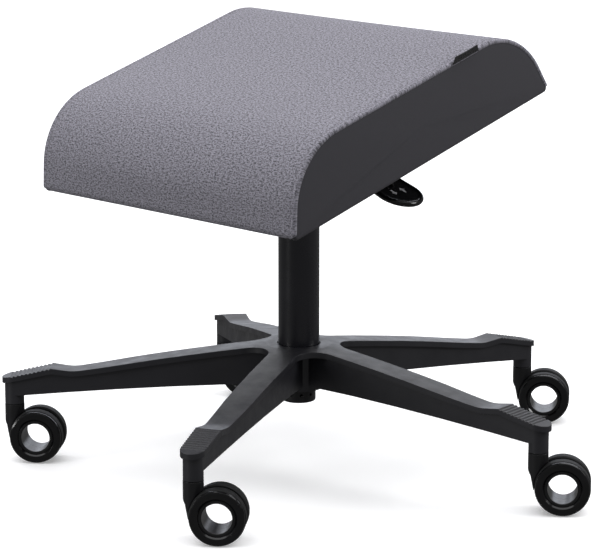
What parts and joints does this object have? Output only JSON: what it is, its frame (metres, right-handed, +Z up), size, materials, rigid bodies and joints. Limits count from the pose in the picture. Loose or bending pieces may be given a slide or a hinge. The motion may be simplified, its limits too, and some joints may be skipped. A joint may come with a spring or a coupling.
{
  "type": "footrest stool",
  "caption": "Upholstered forward-sloping footrest stool on a gas lift column with a star base on hollow twin-wheel casters and a height paddle.",
  "frame": {"origin": "column axis at floor level, with the seat at its lowest height", "axes": "+Z up along the column, +X to the sitter's right, -Y to the low front edge of the cushion"},
  "size_m": [0.7273, 0.7297, 0.5298],
  "materials": {
    "base_plastic": "satin",
    "column_steel": "satin",
    "cap_plastic": "satin",
    "bush_plastic": "satin",
    "bare_steel": "satin",
    "zinc_steel": "satin",
    "seal_rubber": "matte",
    "bracket_steel": "satin",
    "plywood": "matte",
    "foam": "matte",
    "cover_fabric": "matte",
    "panel_fabric": "matte",
    "lining_fabric": "matte",
    "tab_fabric": "matte",
    "paddle_plastic": "satin",
    "caster_plastic": "satin",
    "wheel_gloss": "gloss",
    "sleeve_plastic": "satin",
    "tread_rubber": "matte"
  },
  "bodies": {
    "base": {"star_base": "base_plastic", "column_outer_tube": "column_steel", "guide_bush": "bush_plastic", "column_end_cap": "cap_plastic", "thrust_bearing": "bare_steel", "caster_stems": "zinc_steel", "caster_grip_rings": "bare_steel"},
    "piston_rod": {"piston_rod": "bare_steel", "piston": "seal_rubber", "rod_clip": "bare_steel", "thrust_washer_upper": "bare_steel"},
    "seat": {"pressure_tube": "column_steel", "rod_seal_guide": "bush_plastic", "valve_body": "bare_steel", "mounting_bracket": "bracket_steel", "taper_socket": "bracket_steel", "lever_pivot_pin": "zinc_steel", "bracket_bolts": "zinc_steel", "bracket_washers": "zinc_steel", "tee_nuts": "zinc_steel", "seat_board": "plywood", "dust_cover": "lining_fabric", "foam_core": "foam", "top_cover": "cover_fabric", "side_panel_left": "panel_fabric", "side_panel_right": "panel_fabric", "seam_tab": "tab_fabric"},
    "lever": {"lever_rod": "bracket_steel", "lever_paddle": "paddle_plastic"},
    "release_pin": {"release_pin": "bare_steel"},
    "caster_1": {"caster_1_body": "caster_plastic", "caster_1_sleeves": "sleeve_plastic"},
    "caster_1_wheel_a": {"caster_1_wheel_a": "wheel_gloss", "caster_1_tread_a": "tread_rubber"},
    "caster_1_wheel_b": {"caster_1_wheel_b": "wheel_gloss", "caster_1_tread_b": "tread_rubber"},
    "caster_2": {"caster_2_body": "caster_plastic", "caster_2_sleeves": "sleeve_plastic"},
    "caster_2_wheel_a": {"caster_2_wheel_a": "wheel_gloss", "caster_2_tread_a": "tread_rubber"},
    "caster_2_wheel_b": {"caster_2_wheel_b": "wheel_gloss", "caster_2_tread_b": "tread_rubber"},
    "caster_3": {"caster_3_body": "caster_plastic", "caster_3_sleeves": "sleeve_plastic"},
    "caster_3_wheel_a": {"caster_3_wheel_a": "wheel_gloss", "caster_3_tread_a": "tread_rubber"},
    "caster_3_wheel_b": {"caster_3_wheel_b": "wheel_gloss", "caster_3_tread_b": "tread_rubber"},
    "caster_4": {"caster_4_body": "caster_plastic", "caster_4_sleeves": "sleeve_plastic"},
    "caster_4_wheel_a": {"caster_4_wheel_a": "wheel_gloss", "caster_4_tread_a": "tread_rubber"},
    "caster_4_wheel_b": {"caster_4_wheel_b": "wheel_gloss", "caster_4_tread_b": "tread_rubber"},
    "caster_5": {"caster_5_body": "caster_plastic", "caster_5_sleeves": "sleeve_plastic"},
    "caster_5_wheel_a": {"caster_5_wheel_a": "wheel_gloss", "caster_5_tread_a": "tread_rubber"},
    "caster_5_wheel_b": {"caster_5_wheel_b": "wheel_gloss", "caster_5_tread_b": "tread_rubber"}
  },
  "joints": [
    {"name": "seat_swivel", "type": "hinge", "parent": "base", "child": "piston_rod", "pos_m": [0, 0, 0.15], "axis": [0, 0, 1], "continuous": true},
    {"name": "seat_lift", "type": "slide", "parent": "piston_rod", "child": "seat", "axis": [0, 0, 1], "range_m": [0, 0.1]},
    {"name": "lever_tip", "type": "hinge", "parent": "seat", "child": "lever", "pos_m": [0.032, 0, 0.372], "axis": [0, -1, 0], "range_deg": [0, 6]},
    {"name": "release_pin_slide", "type": "slide", "parent": "seat", "child": "release_pin", "axis": [0, 0, -1], "range_m": [0, 0.0036], "stiffness_N_per_m": 1500, "springref_m": -0.001},
    {"name": "caster_1_swivel", "type": "hinge", "parent": "base", "child": "caster_1", "pos_m": [0.15049, -0.31411, 0.07], "axis": [0, 0, 1], "continuous": true},
    {"name": "caster_1_roll_a", "type": "hinge", "parent": "caster_1", "child": "caster_1_wheel_a", "pos_m": [0.1727, -0.29593, 0.0325], "axis": [-0.6334, 0.7738, 0], "continuous": true},
    {"name": "caster_1_roll_b", "type": "hinge", "parent": "caster_1", "child": "caster_1_wheel_b", "pos_m": [0.1727, -0.29593, 0.0325], "axis": [-0.6334, 0.7738, 0], "continuous": true},
    {"name": "caster_2_swivel", "type": "hinge", "parent": "base", "child": "caster_2", "pos_m": [0.34524, 0.04607, 0.07], "axis": [0, 0, 1], "continuous": true},
    {"name": "caster_2_roll_a", "type": "hinge", "parent": "caster_2", "child": "caster_2_wheel_a", "pos_m": [0.36745, 0.06424, 0.0325], "axis": [-0.6334, 0.7738, 0], "continuous": true},
    {"name": "caster_2_roll_b", "type": "hinge", "parent": "caster_2", "child": "caster_2_wheel_b", "pos_m": [0.36745, 0.06424, 0.0325], "axis": [-0.6334, 0.7738, 0], "continuous": true},
    {"name": "caster_3_swivel", "type": "hinge", "parent": "base", "child": "caster_3", "pos_m": [0.06288, 0.34258, 0.07], "axis": [0, 0, 1], "continuous": true},
    {"name": "caster_3_roll_a", "type": "hinge", "parent": "caster_3", "child": "caster_3_wheel_a", "pos_m": [0.08508, 0.36076, 0.0325], "axis": [-0.6334, 0.7738, 0], "continuous": true},
    {"name": "caster_3_roll_b", "type": "hinge", "parent": "caster_3", "child": "caster_3_wheel_b", "pos_m": [0.08508, 0.36076, 0.0325], "axis": [-0.6334, 0.7738, 0], "continuous": true},
    {"name": "caster_4_swivel", "type": "hinge", "parent": "base", "child": "caster_4", "pos_m": [-0.30638, 0.16566, 0.07], "axis": [0, 0, 1], "continuous": true},
    {"name": "caster_4_roll_a", "type": "hinge", "parent": "caster_4", "child": "caster_4_wheel_a", "pos_m": [-0.28417, 0.18384, 0.0325], "axis": [-0.6334, 0.7738, 0], "continuous": true},
    {"name": "caster_4_roll_b", "type": "hinge", "parent": "caster_4", "child": "caster_4_wheel_b", "pos_m": [-0.28417, 0.18384, 0.0325], "axis": [-0.6334, 0.7738, 0], "continuous": true},
    {"name": "caster_5_swivel", "type": "hinge", "parent": "base", "child": "caster_5", "pos_m": [-0.25223, -0.24019, 0.07], "axis": [0, 0, 1], "continuous": true},
    {"name": "caster_5_roll_a", "type": "hinge", "parent": "caster_5", "child": "caster_5_wheel_a", "pos_m": [-0.23002, -0.22202, 0.0325], "axis": [-0.6334, 0.7738, 0], "continuous": true},
    {"name": "caster_5_roll_b", "type": "hinge", "parent": "caster_5", "child": "caster_5_wheel_b", "pos_m": [-0.23002, -0.22202, 0.0325], "axis": [-0.6334, 0.7738, 0], "continuous": true}
  ],
  "couplings": [
    {"joint": "release_pin_slide", "follows": "lever_tip", "m_per_rad": 0.034}
  ]
}
